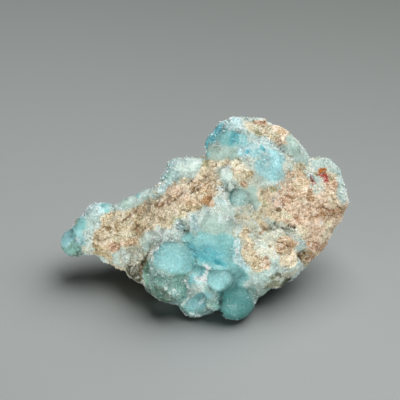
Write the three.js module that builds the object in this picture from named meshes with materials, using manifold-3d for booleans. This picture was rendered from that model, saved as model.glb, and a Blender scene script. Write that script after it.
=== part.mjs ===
// Hemimorphite: a rough hand specimen of blue-green botryoidal hemimorphite on broken, granular matrix.
// It is one natural stone, so it is one solid. Millimetres, +Z up, standing on its underside at z = 0,
// with the middle of its footprint at the origin and its longest way along X.
import * as THREE from "three";
import { mergeVertices } from "three/addons/utils/BufferGeometryUtils.js";
import { MarchingCubes } from "three/addons/objects/MarchingCubes.js";
import { ImprovedNoise } from "three/addons/math/ImprovedNoise.js";
import Module from "manifold-3d";

// Matrix: the masses of the broken stone, each an ellipsoid with a centre and half-sizes, blended together.
const MASSES = [
  { name: "arm tip", at: [-22.5, 3, 10], half: [5, 4.5, 4.2] },
  { name: "arm", at: [-13.5, 3, 11.6], half: [9.5, 5.6, 5.4] },
  { name: "arm keel", at: [-16.5, 0.5, 7.4], half: [5, 4, 4] },
  { name: "heel", at: [-12.4, -4.2, 6.2], half: [3.6, 3.6, 3.8] },
  { name: "core", at: [0.8, 2, 15], half: [12.3, 12, 12] },
  { name: "dome", at: [10.5, 5, 25.5], half: [9.5, 9, 9] },
  { name: "shoulder", at: [20.9, 4, 18.3], half: [9.1, 8.5, 7.2] },
  { name: "right end", at: [18, 1.5, 12.8], half: [8.4, 8, 7.5] },
  { name: "flank", at: [12.1, -3, 10.3], half: [9.4, 8.5, 8.3] },
  { name: "foot", at: [1, 1, 5], half: [12, 11.5, 7] },
  { name: "cluster base", at: [-3, -6, 6.5], half: [8.5, 6.5, 8] },
  { name: "toe", at: [7, -8, 4], half: [5, 5.5, 5] },
];
const MASS_BLEND = 1.2;

// A side of the specimen as it is looked at: azimuth 0 looks along +Y, and tilt is the angle it looks down by.
// A place on it is [across, up]: millimetres to the right of the stone's middle, and up across the look.
const DISPLAY = { azimuth: 0, tilt: 35 };
const BACK = { azimuth: 180, tilt: 25 };

// Botryoidal lobes on the display side: [across, up, radius].
const LOBES = [
  // knob at the end of the arm
  [-27.0, 8.0, 3.0], [-25, 11.2, 2.6], [-22.3, 13.4, 2.9], [-20.4, 14.4, 2], [-24.2, 7.6, 2.1],
  // crust along the arm's upper edge
  [-17.6, 14.2, 1.5], [-16, 15.6, 1.8], [-13.9, 16.5, 1.8], [-11.8, 17.5, 1.8], [-9.9, 18, 1.6],
  [-8.2, 19.5, 1.7], [-6.9, 21.4, 1.9], [-5.4, 23.2, 2.3], [-3.2, 23.6, 2.3], [-1, 23.8, 1.9],
  // dome
  [2.6, 28.6, 2.4], [4.6, 30.9, 2.6], [7, 31.1, 2.8], [5, 28.2, 2.8], [2.6, 26.8, 2.2], [7.6, 28.3, 2.2],
  [11.2, 27.3, 1.9], [13.7, 25.9, 2.1], [13.8, 23.2, 3.0], [14.4, 30.3, 2.2], [16.4, 29.4, 2.1], [18, 27.6, 2.2],
  [19.6, 25.8, 2.1],
  // rim of the right shoulder
  [23.3, 24.4, 1.7], [25.4, 24.2, 1.8], [27, 22.8, 1.7], [27.6, 20.6, 1.6], [28.4, 18.4, 1.4],
  // middle
  [7.5, 18, 2.1],
  // large lobes at the lower front
  [-6.6, 4.9, 5.0], [3.6, 7, 5.8], [1.2, 10.8, 4.2], [3.6, 0.1, 2.6], [6.5, -4, 4.1], [-1.8, -4.2, 3.4],
  [-7, 0, 4.4], [0.8, -5, 2], [2.4, -3.4, 1.7],
];
// Groups of lobes on the back: where, how many, their mean radius, and how far they spread.
const BACK_CLUSTERS = [
  { across: -10, up: 20, count: 9, radius: 2.8, spread: 6 },
  { across: 14, up: 7, count: 8, radius: 2.2, spread: 5 },
  { across: -19, up: 12, count: 7, radius: 2.2, spread: 5 },
  { across: 1, up: 6, count: 8, radius: 3.2, spread: 8 },
];
// A lobe's radius in a cluster runs from the smallest share of the mean to the largest.
const CLUSTER_SIZES = { smallest: 0.75, largest: 1.25, step: 1.7 };
const GOLDEN_ANGLE = Math.PI * (3 - Math.sqrt(5));
const LOBE_SINK = 0.4;
const LOBE_BLEND = 0.25;

// Crevices and pits on the display side: [across, up, radius].
const HOLLOWS = [
  [-4.2, 11.5, 1.6], [5.4, 19.4, 1.4], [13.7, 12.2, 1.8], [17.6, 11.2, 1.5], [-12.2, 4, 1.7], [3.9, -4.9, 1.6],
  [-13.3, 10.8, 1.3], [21.6, 5.3, 1.6],
];
const HOLLOW_SINK = 0.2;

// Broken surface: blocks of the matrix, each its own height, and a slow unevenness everywhere.
const BLOCK = { size: 2.6, height: 1.1, slant: 0.5 };
const UNEVEN = { perMillimetre: 0.45, onLobes: 0.1, onMatrix: 0.6 };

// The grid that the surface is drawn on: a cube from -half to half, raised to the stone's middle.
const GRID = { half: 34, z: 15, cells: 54 };
const MOST_TRIANGLES = 20000;
const WELD = 1e-3;
const SPREAD = { rounds: 6, share: 0.6 };
const SLOPE_STEP = 0.05;
const LOOK = { reach: 40, step: 0.1 };

const noise = new ImprovedNoise();

// Signed distance, roughly, from a point to the blended masses: negative inside.
function bodyField(p) {
  let sum = 0;
  for (const { at, half } of MASSES) {
    const [a, b, c] = half;
    const reach = Math.hypot((p.x - at[0]) / a, (p.y - at[1]) / b, (p.z - at[2]) / c);
    const distance = (reach - 1) * Math.min(a, b, c);
    sum += Math.exp(-distance / MASS_BLEND);
  }
  return -MASS_BLEND * Math.log(sum);
}

function lookOf({ azimuth, tilt }) {
  const a = THREE.MathUtils.degToRad(azimuth);
  const t = THREE.MathUtils.degToRad(tilt);
  const right = new THREE.Vector3(Math.cos(a), Math.sin(a), 0);
  const sight = new THREE.Vector3(-Math.sin(a) * Math.cos(t), Math.cos(a) * Math.cos(t), -Math.sin(t));
  return { right, sight, rise: right.clone().cross(sight) };
}

// A ball sunk into the body where the look at [across, up] on that side meets it, or passes it closest.
function ballOn(side, [across, up, radius], sink) {
  const { right, sight, rise } = lookOf(side);
  const start = new THREE.Vector3().addScaledVector(right, across).addScaledVector(rise, up);
  let met = start;
  let least = Infinity;
  for (let s = -LOOK.reach; s < LOOK.reach && least > 0; s += LOOK.step) {
    const p = start.clone().addScaledVector(sight, s);
    const value = bodyField(p);
    if (value < least) {
      least = value;
      met = p;
    }
  }
  return { centre: met.addScaledVector(sight, radius * sink), radius };
}

// Lobes of mixed size set close together in a spiral.
function cluster({ across, up, count, radius, spread }) {
  const { smallest, largest, step } = CLUSTER_SIZES;
  return Array.from({ length: count }, (_, i) => {
    const out = spread * Math.sqrt(i / count);
    const turn = i * GOLDEN_ANGLE;
    const size = THREE.MathUtils.lerp(smallest, largest, Math.abs(Math.sin(i * step + across)));
    return [across + out * Math.cos(turn), up + out * Math.sin(turn), radius * size];
  });
}

const lobes = [
  ...LOBES.map((place) => ballOn(DISPLAY, place, LOBE_SINK)),
  ...BACK_CLUSTERS.flatMap(cluster).map((place) => ballOn(BACK, place, LOBE_SINK)),
];
const hollows = HOLLOWS.map((place) => ballOn(DISPLAY, place, HOLLOW_SINK));

// Distance to the stone's surface with its lobes, and how much of it is lobe rather than matrix there.
function stoneField(p) {
  const matrix = Math.exp(-bodyField(p) / LOBE_BLEND);
  let growth = 0;
  for (const { centre, radius } of lobes) growth += Math.exp(-(p.distanceTo(centre) - radius) / LOBE_BLEND);
  let distance = -LOBE_BLEND * Math.log(matrix + growth);
  for (const { centre, radius } of hollows) distance = Math.max(distance, radius - p.distanceTo(centre));
  return { distance, lobeShare: growth / (matrix + growth) };
}

// Which way the stone faces at p: the field's slope there.
function outward(p) {
  const here = stoneField(p).distance;
  const slope = ["x", "y", "z"].map((axis) => {
    const q = p.clone();
    q[axis] += SLOPE_STEP;
    return stoneField(q).distance - here;
  });
  return new THREE.Vector3(...slope).normalize();
}

// A number from 0 to 1 that belongs to a cell of space, the nth of several.
function cellRandom(x, y, z, n) {
  return Math.abs(Math.sin(x * 127.1 + y * 311.7 + z * 74.7 + n * 19.3) * 43758.5453) % 1;
}

// Broken matrix: space is divided into blocks round scattered points, and each block has its own height.
function blockHeight(p) {
  const q = p.clone().divideScalar(BLOCK.size);
  const cell = q.clone().floor();
  let nearest = Infinity;
  let height = 0;
  for (let x = cell.x - 1; x <= cell.x + 1; x++) {
    for (let y = cell.y - 1; y <= cell.y + 1; y++) {
      for (let z = cell.z - 1; z <= cell.z + 1; z++) {
        const [a, b, c, lift] = [0, 1, 2, 3].map((n) => cellRandom(x, y, z, n));
        const away = Math.hypot(x + a - q.x, y + b - q.y, z + c - q.z);
        if (away < nearest) {
          nearest = away;
          height = lift - BLOCK.slant * (1 + away);
        }
      }
    }
  }
  return BLOCK.height * height;
}

// The stone's field drawn on the grid of cubes, as a closed mesh.
function drawnField() {
  const cubes = new MarchingCubes(GRID.cells, new THREE.MeshStandardMaterial(), false, false, MOST_TRIANGLES);
  cubes.isolation = 0;
  const along = (i) => GRID.half * (2 * i / GRID.cells - 1);
  for (let x = 0; x < GRID.cells; x++) {
    for (let y = 0; y < GRID.cells; y++) {
      for (let z = 0; z < GRID.cells; z++) {
        const p = new THREE.Vector3(along(x), along(y), along(z) + GRID.z);
        cubes.setCell(x, y, z, -stoneField(p).distance);
      }
    }
  }
  cubes.update();
  const corners = cubes.positionArray.slice(0, cubes.count * 3);
  const drawn = new THREE.BufferGeometry().setAttribute("position", new THREE.BufferAttribute(corners, 3));
  drawn.scale(GRID.half, GRID.half, GRID.half).translate(0, 0, GRID.z);
  const geometry = mergeVertices(drawn, WELD);
  const whole = [];
  const index = geometry.index.array;
  for (let i = 0; i < index.length; i += 3) {
    const [a, b, c] = index.subarray(i, i + 3);
    if (a !== b && b !== c && c !== a) whole.push(a, b, c);
  }
  return geometry.setIndex(whole);
}

// The vertices next to each vertex.
function neighboursOf(geometry) {
  const near = Array.from({ length: geometry.attributes.position.count }, () => new Set());
  const index = geometry.index.array;
  for (let i = 0; i < index.length; i += 3) {
    const [a, b, c] = index.slice(i, i + 3);
    near[a].add(b).add(c);
    near[b].add(a).add(c);
    near[c].add(a).add(b);
  }
  return near.map((set) => [...set]);
}

// The whole surface: drawn, then spread evenly over the stone, then roughened.
function surface() {
  const geometry = drawnField();
  const position = geometry.attributes.position;
  const near = neighboursOf(geometry);
  let points = near.map((_, i) => new THREE.Vector3().fromBufferAttribute(position, i));
  for (let round = 0; round < SPREAD.rounds; round++) {
    points = points.map((p, i) => {
      const slide = new THREE.Vector3();
      for (const j of near[i]) slide.add(points[j]);
      slide.divideScalar(near[i].length).sub(p).projectOnPlane(outward(p));
      const q = p.clone().addScaledVector(slide, SPREAD.share);
      return q.addScaledVector(outward(q), -stoneField(q).distance);
    });
  }
  points.forEach((p, i) => {
    const broken = 1 - stoneField(p).lobeShare;
    const wave = noise.noise(...p.clone().multiplyScalar(UNEVEN.perMillimetre).toArray());
    const lift = THREE.MathUtils.lerp(UNEVEN.onLobes, UNEVEN.onMatrix, broken) * wave + broken * blockHeight(p);
    p.addScaledVector(outward(p), lift);
    position.setXYZ(i, p.x, p.y, p.z);
  });
  return geometry;
}

const wasm = await Module();
wasm.setup();

function solid(geometry) {
  geometry.deleteAttribute("normal");
  geometry.deleteAttribute("uv");
  const merged = mergeVertices(geometry, WELD);
  return new wasm.Manifold(new wasm.Mesh({
    numProp: 3,
    vertProperties: merged.attributes.position.array,
    triVerts: new Uint32Array(merged.index.array),
  }));
}

function geometryOf(manifold) {
  const mesh = manifold.getMesh();
  return new THREE.BufferGeometry()
    .setAttribute("position", new THREE.BufferAttribute(mesh.vertProperties, 3))
    .setIndex(new THREE.BufferAttribute(mesh.triVerts, 1));
}

// What it rests on: the stone is cut off level at z = 0.
const { half } = GRID;
const below = solid(new THREE.BoxGeometry(4 * half, 4 * half, half).translate(0, 0, -half / 2));
const stone = geometryOf(solid(surface()).subtract(below));

const middle = new THREE.Box3().setFromBufferAttribute(stone.attributes.position).getCenter(new THREE.Vector3());
const specimen = new THREE.Mesh(
  stone,
  new THREE.MeshStandardMaterial({ color: 0x9ccbc8, roughness: 0.55, metalness: 0 }),
);
specimen.name = "specimen";
specimen.position.set(-middle.x, -middle.y, 0);

const group = new THREE.Group();
group.add(specimen);

export default group;
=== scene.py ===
"""Looks of the hemimorphite specimen: its fine surface, crystals and finish, in place of the CAD solid.

Lengths are in millimetres until they reach Blender, which has metres. Places on the display side are given
as pixels of a 400 x 400 picture, and are followed along the line of sight to the surface that they hit.
"""
import math

import bpy
import numpy as np
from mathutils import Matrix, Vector
from mathutils.bvhtree import BVHTree


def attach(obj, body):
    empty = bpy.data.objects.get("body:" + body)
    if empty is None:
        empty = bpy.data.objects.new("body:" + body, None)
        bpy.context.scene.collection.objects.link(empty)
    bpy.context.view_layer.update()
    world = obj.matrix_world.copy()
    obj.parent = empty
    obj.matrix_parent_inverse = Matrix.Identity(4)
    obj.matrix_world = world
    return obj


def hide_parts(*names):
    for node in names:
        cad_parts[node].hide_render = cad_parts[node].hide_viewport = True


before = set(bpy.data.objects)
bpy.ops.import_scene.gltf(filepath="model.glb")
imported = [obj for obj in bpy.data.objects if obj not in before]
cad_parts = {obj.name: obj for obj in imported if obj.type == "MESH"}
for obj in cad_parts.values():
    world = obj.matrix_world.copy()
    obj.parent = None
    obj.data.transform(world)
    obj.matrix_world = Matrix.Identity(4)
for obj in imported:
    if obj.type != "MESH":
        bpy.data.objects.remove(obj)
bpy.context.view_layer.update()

MM = 0.001
PICTURE = 400  # pixels a side

# ---- The camera: a long lens, looking down at the display side -----------------------------------
TILT = math.radians(35)
DISTANCE = 480.0
PIXEL = 0.208  # one pixel's width at the target
TARGET = np.array([-0.974, 0.160, 20.7])
SENSOR = 36.0
NEAREST, FURTHEST = 0.01, 20  # what the camera sees, in metres

LOOK = np.array([0.0, math.cos(TILT), -math.sin(TILT)])
UPWARD = np.array([0.0, math.sin(TILT), math.cos(TILT)])
ACROSS = np.array([1.0, 0.0, 0.0])
EYE = TARGET - LOOK * DISTANCE


def linked(name, data):
    """A new object in the scene."""
    made = bpy.data.objects.new(name, data)
    bpy.context.scene.collection.objects.link(made)
    return made


def aimed(made, at, way):
    """Puts a camera or a light at its place, in metres, looking along a direction."""
    made.location = at
    made.rotation_mode = "QUATERNION"
    made.rotation_quaternion = Vector(way).to_track_quat("-Z", "Y")


def add_camera():
    """The camera, and the scene's one view."""
    data = bpy.data.cameras.new("camera")
    data.sensor_width = SENSOR
    data.lens = SENSOR * DISTANCE / (PICTURE * PIXEL)
    data.clip_start = NEAREST
    data.clip_end = FURTHEST
    camera = linked("camera", data)
    aimed(camera, EYE * MM, LOOK)
    bpy.context.scene.camera = camera


def sight(u, v):
    """The line of sight through a pixel: where it starts and its direction."""
    middle = PICTURE / 2
    there = TARGET + ACROSS * (u - middle) * PIXEL + UPWARD * (middle - v) * PIXEL
    way = there - EYE
    return EYE, way / np.linalg.norm(way)


# ---- Materials -----------------------------------------------------------------------------------
class Nodes:
    """Short ways to write a material's nodes. Sizes are in millimetres."""

    def __init__(self, name):
        self.material = bpy.data.materials.new(name)
        self.material.use_nodes = True
        self.tree = self.material.node_tree
        self.shader = self.tree.nodes["Principled BSDF"]

    def plug(self, socket, value):
        """Gives a socket another socket's output, or a fixed value."""
        if isinstance(value, bpy.types.NodeSocket):
            self.tree.links.new(value, socket)
        else:
            socket.default_value = value

    def finish(self, **values):
        """Gives the shader its values: base_color=..., roughness=... and so on."""
        for name, value in values.items():
            title = " ".join(word.upper() if word == "ior" else word.title() for word in name.split("_"))
            self.plug(self.shader.inputs[title], value)

    def place(self):
        return self.tree.nodes.new("ShaderNodeTexCoord").outputs["Object"]

    def attribute(self, name, output="Fac"):
        node = self.tree.nodes.new("ShaderNodeAttribute")
        node.attribute_name = name
        return node.outputs[output]

    def maths(self, operation, a, b=0.0):
        node = self.tree.nodes.new("ShaderNodeMath")
        node.operation = operation
        self.plug(node.inputs[0], a)
        self.plug(node.inputs[1], b)
        return node.outputs[0]

    def times(self, a, b):
        return self.maths("MULTIPLY", a, b)

    def ramp(self, value, low, high, to_low=0.0, to_high=1.0):
        """From one number to another as the value goes from low to high, or from high to low."""
        node = self.tree.nodes.new("ShaderNodeMapRange")
        node.interpolation_type = "SMOOTHSTEP"
        self.plug(node.inputs["Value"], value)
        for name, number in zip(("From Min", "From Max", "To Min", "To Max"), (low, high, to_low, to_high)):
            self.plug(node.inputs[name], number)
        return node.outputs["Result"]

    def mix(self, factor, a, b, blend="MIX"):
        node = self.tree.nodes.new("ShaderNodeMix")
        node.data_type = "RGBA"
        node.blend_type = blend
        self.plug(node.inputs["Factor"], factor)
        self.plug(node.inputs["A"], a)
        self.plug(node.inputs["B"], b)
        return node.outputs["Result"]

    def gamma(self, colour, power):
        node = self.tree.nodes.new("ShaderNodeGamma")
        self.plug(node.inputs["Color"], colour)
        self.plug(node.inputs["Gamma"], power)
        return node.outputs["Color"]

    def texture(self, kind, size, output):
        node = self.tree.nodes.new(kind)
        node.inputs["Scale"].default_value = 1 / (size * MM)
        self.plug(node.inputs["Vector"], self.place())
        return node, node.outputs[output]

    def noise(self, size, detail=2.0):
        node, height = self.texture("ShaderNodeTexNoise", size, "Fac")
        node.inputs["Detail"].default_value = detail
        return height

    def voronoi(self, size):
        return self.texture("ShaderNodeTexVoronoi", size, "Distance")[1]

    def patches(self, size, low, high, to_low=0.0, to_high=1.0, detail=2.0):
        """Soft patches, where the noise goes from low to high."""
        return self.ramp(self.noise(size, detail), low, high, to_low, to_high)

    def dots(self, size, edge, core):
        """A round dot in each cell of that size, from its edge to its full core, as shares of the cell."""
        return self.ramp(self.voronoi(size), edge, core)

    def bump(self, height, strength, distance):
        node = self.tree.nodes.new("ShaderNodeBump")
        self.plug(node.inputs["Strength"], strength)
        node.inputs["Distance"].default_value = distance * MM
        self.plug(node.inputs["Height"], height)
        return node.outputs["Normal"]


WHITE_CRYSTAL = (0.80, 0.86, 0.87, 1)
# white of the lobes' specks and hairlines, which are partly painted glints
WHITE_HAIRLINE = (0.80, 0.87, 0.87, 1)
BROWN_SPECK = (0.34, 0.26, 0.20, 1)
# painted shade for the hollows, and a painted highlight for the ridges
HOLLOW_SHADE = (0.34, 0.31, 0.26, 1)
RIDGE_HIGHLIGHT = (0.88, 0.89, 0.86, 1)
SCATTER = (0.8, 1.0, 1.0)  # how far red, green and blue light travel inside, as shares of the depth
STONE_DEPTH = 3.0
CRYSTAL_DEPTH = 0.5
BUMP = 0.12


def stone_material():
    """The finish of the whole stone: dull and finely grained matrix and crust, and waxy lobes."""
    n = Nodes("hemimorphite")
    base = n.attribute("mineral", "Color")
    grain, druse, wax, hollow = [n.attribute(name) for name in ("grain", "druse", "wax", "hollow")]

    def waxy(dull, smooth):
        """A number that goes from one to the other as the surface gets waxy."""
        return n.ramp(wax, 0, 1, dull, smooth)

    # white crystals in the druse
    fleck = n.times(n.dots(0.42, 0.34, 0.16), n.patches(1.6, 0.42, 0.62))
    base = n.mix(n.times(n.times(fleck, n.ramp(druse, 0.0, 0.6)), 0.62), base, WHITE_CRYSTAL)
    # sparse white specks and hairlines on the lobes, partly white crystals and partly painted glints
    glint_and_speck = n.times(n.dots(0.85, 0.24, 0.08), n.patches(2.4, 0.5, 0.62))
    from_middle = n.maths("ABSOLUTE", n.maths("SUBTRACT", n.noise(1.3, 3.0), 0.5))
    vein = n.ramp(from_middle, 0.018, 0.002, 0.0, 0.7)
    glint_and_speck = n.maths("MAXIMUM", glint_and_speck, n.times(vein, n.patches(3.1, 0.54, 0.64)))
    base = n.mix(n.times(glint_and_speck, n.ramp(grain, 0.5, 0.0, 0.0, 0.5)), base, WHITE_HAIRLINE)
    # brown specks in the matrix
    speck = n.times(n.times(n.dots(0.55, 0.30, 0.10), n.patches(1.1, 0.5, 0.66)), grain)
    base = n.mix(n.times(speck, 0.45), base, BROWN_SPECK, "MULTIPLY")
    # an uneven tone, and a fine grain, in which what is lighter is paler too
    base = n.mix(1.0, base, n.patches(0.45, 0.3, 0.7, 0.86, 1.12, detail=3.0), "MULTIPLY")
    fine = n.noise(0.2)
    base = n.mix(waxy(1.0, 0.12), base, n.gamma(base, n.ramp(fine, 0.32, 0.68, 1.26, 0.78)))
    base = n.mix(waxy(1.0, 0.12), base, n.ramp(fine, 0.32, 0.68, 0.70, 1.26), "MULTIPLY")
    # painted shade makes the hollows darker, and a painted highlight makes the ridges lighter
    shade = n.times(n.ramp(hollow, 0.55, 0.9), n.ramp(grain, 0, 1, 0.22, 0.52))
    base = n.mix(shade, base, HOLLOW_SHADE, "MULTIPLY")
    base = n.mix(n.times(n.ramp(hollow, 0.45, 0.1), waxy(0.36, 0.08)), base, RIDGE_HIGHLIGHT)
    height = n.maths("ADD", n.noise(0.5, 3.0), n.times(n.voronoi(0.35), -0.6))
    n.finish(
        base_color=base, roughness=waxy(0.70, 0.48), specular_ior_level=0.35,
        subsurface_weight=waxy(0.5, 0.9), subsurface_radius=SCATTER, subsurface_scale=STONE_DEPTH * MM,
        normal=n.bump(height, waxy(0.5, 0.2), BUMP),
    )
    return n.material


def small_material(name, roughness, weight):
    """The finish of the grains or the crystals, which let that much light in."""
    n = Nodes(name)
    tone = n.patches(0.3, 0.3, 0.7, 0.85, 1.1)
    n.finish(
        base_color=n.mix(1.0, n.attribute("mineral", "Color"), tone, "MULTIPLY"), roughness=roughness,
        subsurface_weight=weight, subsurface_radius=SCATTER, subsurface_scale=CRYSTAL_DEPTH * MM,
    )
    return n.material


# ---- Light and floor -----------------------------------------------------------------------------
# Each soft box: its name, where it stands, the height that it faces, its width and its height, all in metres,
# and its power in watts. The key is overhead, behind and to the right. The others are low in front of it.
SOFTBOXES = [
    ("key", (0.19, 0.10, 0.47), 0.01, 0.56, 0.56, 4.35),
    ("front", (0.0, -0.60, 0.02), 0.015, 0.14, 0.03, 1.85),
    ("left", (-0.42, -0.42, 0.02), 0.015, 0.14, 0.03, 1.35),
]
ROOM = 0.001  # the strength of the room's own light
FLOOR_HALF = 3.0  # metres
# painted shade: the floor's colour darkens from near to far, towards the back and the right, as the light
# falls off
FLOOR_NEAR = (0.329, 0.346, 0.343, 1)
FLOOR_FAR = (0.101, 0.113, 0.103, 1)
FLOOR_FADE = (-0.06, 0.26)  # where it goes from one to the other, in metres towards the back
FLOOR_SLANT = 0.50  # how much the way right counts beside the way back


def add_floor():
    """A plain grey floor, darker towards the back and the right as painted shade."""
    n = Nodes("floor_paper")
    split = n.tree.nodes.new("ShaderNodeSeparateXYZ")
    n.plug(split.inputs[0], n.place())
    way = n.maths("ADD", n.times(split.outputs["X"], FLOOR_SLANT), split.outputs["Y"])
    shade = n.mix(n.ramp(way, *FLOOR_FADE), FLOOR_NEAR, FLOOR_FAR)
    n.finish(base_color=shade, roughness=0.75, specular_ior_level=0.2)
    mesh = bpy.data.meshes.new("floor")
    corners = [(x * FLOOR_HALF, y * FLOOR_HALF, 0) for x, y in ((-1, -1), (1, -1), (1, 1), (-1, 1))]
    mesh.from_pydata(corners, [], [(0, 1, 2, 3)])
    mesh.materials.append(n.material)
    floor = linked("floor", mesh)


def add_light():
    """The soft boxes, in a room that is nearly dark."""
    for name, at, aim, width, height, watts in SOFTBOXES:
        data = bpy.data.lights.new(name, "AREA")
        data.shape = "RECTANGLE"
        data.size = width
        data.size_y = height
        data.energy = watts
        aimed(linked(name, data), at, Vector((0, 0, aim)) - Vector(at))
    world = bpy.data.worlds.new("room")
    world.use_nodes = True
    background = world.node_tree.nodes["Background"]
    background.inputs["Color"].default_value = (1, 1, 1, 1)
    background.inputs["Strength"].default_value = ROOM
    bpy.context.scene.world = world


# ---- Fields over the surface ---------------------------------------------------------------------
HASH = (73856093, 19349663, 83492791)  # large primes, for an even spread
HASH_SALT = 40503
HASH_STIR = 0x45D9F3B


def hashed(cells, salt):
    """A number from 0 to 1 for each whole-number cell, the same on every run."""
    c = cells.astype(np.int64)
    h = (c[..., 0] * HASH[0]) ^ (c[..., 1] * HASH[1]) ^ (c[..., 2] * HASH[2]) ^ (salt * HASH_SALT)
    for _ in range(2):
        h = ((h ^ (h >> 15)) * HASH_STIR) & 0xFFFFFFFF
    return ((h ^ (h >> 16)) & 0xFFFFFF) / float(0xFFFFFF)


def noise(points, size, salt):
    """Smooth noise from -1 to 1, with features of about that size."""
    p = points / size
    base = np.floor(p)
    t = p - base
    t = t * t * (3 - 2 * t)
    total = np.zeros(len(points))
    for corner in np.ndindex(2, 2, 2):
        share = np.prod(np.where(np.array(corner) == 1, t, 1 - t), axis=1)
        total += share * hashed(base + corner, salt)
    return total * 2 - 1


def rough_noise(points, size, salt, rounds=3):
    """Noise of several sizes, each half the last."""
    total = sum(noise(points, size / 2**k, salt + k) / 2**k for k in range(rounds))
    return total / sum(0.5**k for k in range(rounds))


def wandering(points, size, salt, rounds):
    """Noise along each of the three axes, to bend what would be straight or round."""
    return np.stack([rough_noise(points, size, salt + 10 * k, rounds) for k in range(3)], axis=1)


def grains(points, size, salt):
    """One random spot in each cube of that size.

    For each point: how far the nearest two spots are, the nearest one's own number, and the height over it
    of a flat facet that leans its own way.
    """
    p = points / size
    base = np.floor(p)
    first = np.full(len(p), 9.0)
    second = np.full(len(p), 9.0)
    own = np.zeros(len(p))
    lean = np.zeros(len(p))
    for step in np.ndindex(3, 3, 3):
        cell = base + np.array(step) - 1
        aside = p - cell - np.stack([hashed(cell, salt + k) for k in (1, 2, 3)], axis=1)
        d = np.linalg.norm(aside, axis=1)
        nearer = d < first
        second = np.where(nearer, first, np.minimum(second, d))
        own = np.where(nearer, hashed(cell, salt + 4), own)
        way = np.stack([hashed(cell, salt + k) for k in (5, 6, 7)], axis=1) - 0.5
        lean = np.where(nearer, np.einsum("ij,ij->i", aside, way), lean)
        first = np.where(nearer, d, first)
    return first * size, second * size, own, lean


def smooth_step(x):
    """From 0 to 1, as x goes from 0 to 1, with a soft start and end."""
    x = np.clip(x, 0, 1)
    return x * x * (3 - 2 * x)


# ---- The fine surface ----------------------------------------------------------------------------
class Skin:
    """The stone's fine surface, with its points and normals as arrays in millimetres."""

    def __init__(self, mesh):
        self.mesh = mesh
        self.points = read(mesh.vertices, "co", 3) / MM
        self.edges = read(mesh.edges, "vertices", 2, np.int32)
        self.degree = np.bincount(self.edges.ravel(), minlength=len(self.points))
        self.move(self.points)

    def move(self, points):
        """Writes new points to the mesh and reads its normals again."""
        self.points = points
        self.mesh.vertices.foreach_set("co", (points * MM).astype(np.float32).ravel())
        self.mesh.update()
        self.normals = read(self.mesh.vertex_normals, "vector", 3)

    def average(self, values):
        """For each point, the mean of its neighbours' values."""
        a, b = self.edges.T
        count = len(self.points)
        total = [
            np.bincount(a, column[b], count) + np.bincount(b, column[a], count)
            for column in values.reshape(count, -1).T
        ]
        return (np.stack(total, axis=1) / self.degree[:, None]).reshape(values.shape)

    def spread(self, values, rounds):
        """The values, evened out among neighbours that many times."""
        for _ in range(rounds):
            values = (values + self.average(values)) / 2
        return values

    def hollows(self, rounds):
        """How far each point lies below the surface evened out that many times."""
        return np.einsum("ij,ij->i", self.spread(self.points, rounds) - self.points, self.normals)

    def tree(self):
        faces = [tuple(p.vertices) for p in self.mesh.polygons]
        return BVHTree.FromPolygons(self.points.tolist(), faces)


def read(items, name, width, kind=np.float32):
    """One property of many items as an array, a row each."""
    found = np.empty(len(items) * width, kind)
    items.foreach_get(name, found)
    return found.reshape(-1, width).astype(float) if kind == np.float32 else found.reshape(-1, width)


def fine_copy(node, size):
    """A closed copy of a CAD node, remade with faces of that size."""
    copy = linked("stone", node.data.copy())
    remesh = copy.modifiers.new("fine", "REMESH")
    remesh.mode = "VOXEL"
    remesh.voxel_size = size * MM
    graph = bpy.context.evaluated_depsgraph_get()
    mesh = bpy.data.meshes.new_from_object(copy.evaluated_get(graph))
    copy.modifiers.clear()
    copy.data = mesh
    mesh.name = "stone"
    mesh.materials.clear()
    return copy


def hit(tree, u, v):
    """Where a pixel's line of sight meets the surface, or None where it passes by."""
    start, way = sight(u, v)
    place = tree.ray_cast(Vector(start), Vector(way))[0]
    return None if place is None else np.array(place)


# Directions from which the parts that the display side hides are looked at, and the two axes of places
# seen so, in millimetres.
SIDES = {
    "behind": (np.array([0, 1, 0]), np.array([1, 0, 0]), np.array([0, 0, 1])),
    "left": (np.array([-1, 0, 0]), np.array([0, 1, 0]), np.array([0, 0, 1])),
    "right": (np.array([1, 0, 0]), np.array([0, 1, 0]), np.array([0, 0, 1])),
    "above": (np.array([0, 0, 1]), np.array([1, 0, 0]), np.array([0, 1, 0])),
}
OUTSIDE = 100.0  # further out than any of the surface


def met(tree, side, a, b):
    """Where a straight look from a side meets the surface, or None where it passes by."""
    way, first, second = SIDES[side]
    place = tree.ray_cast(Vector(way * OUTSIDE + first * a + second * b), Vector(-way.astype(float)))[0]
    return None if place is None else np.array(place)


def along(spots, step):
    """Points along a line through the spots, no further apart than the step."""
    found = []
    for (u0, v0), (u1, v1) in zip(spots, spots[1:]):
        count = max(1, math.ceil(math.hypot(u1 - u0, v1 - v0) / step))
        found += [(u0 + (u1 - u0) * k / count, v0 + (v1 - v0) * k / count) for k in range(count)]
    return found + [spots[-1]]


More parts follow.
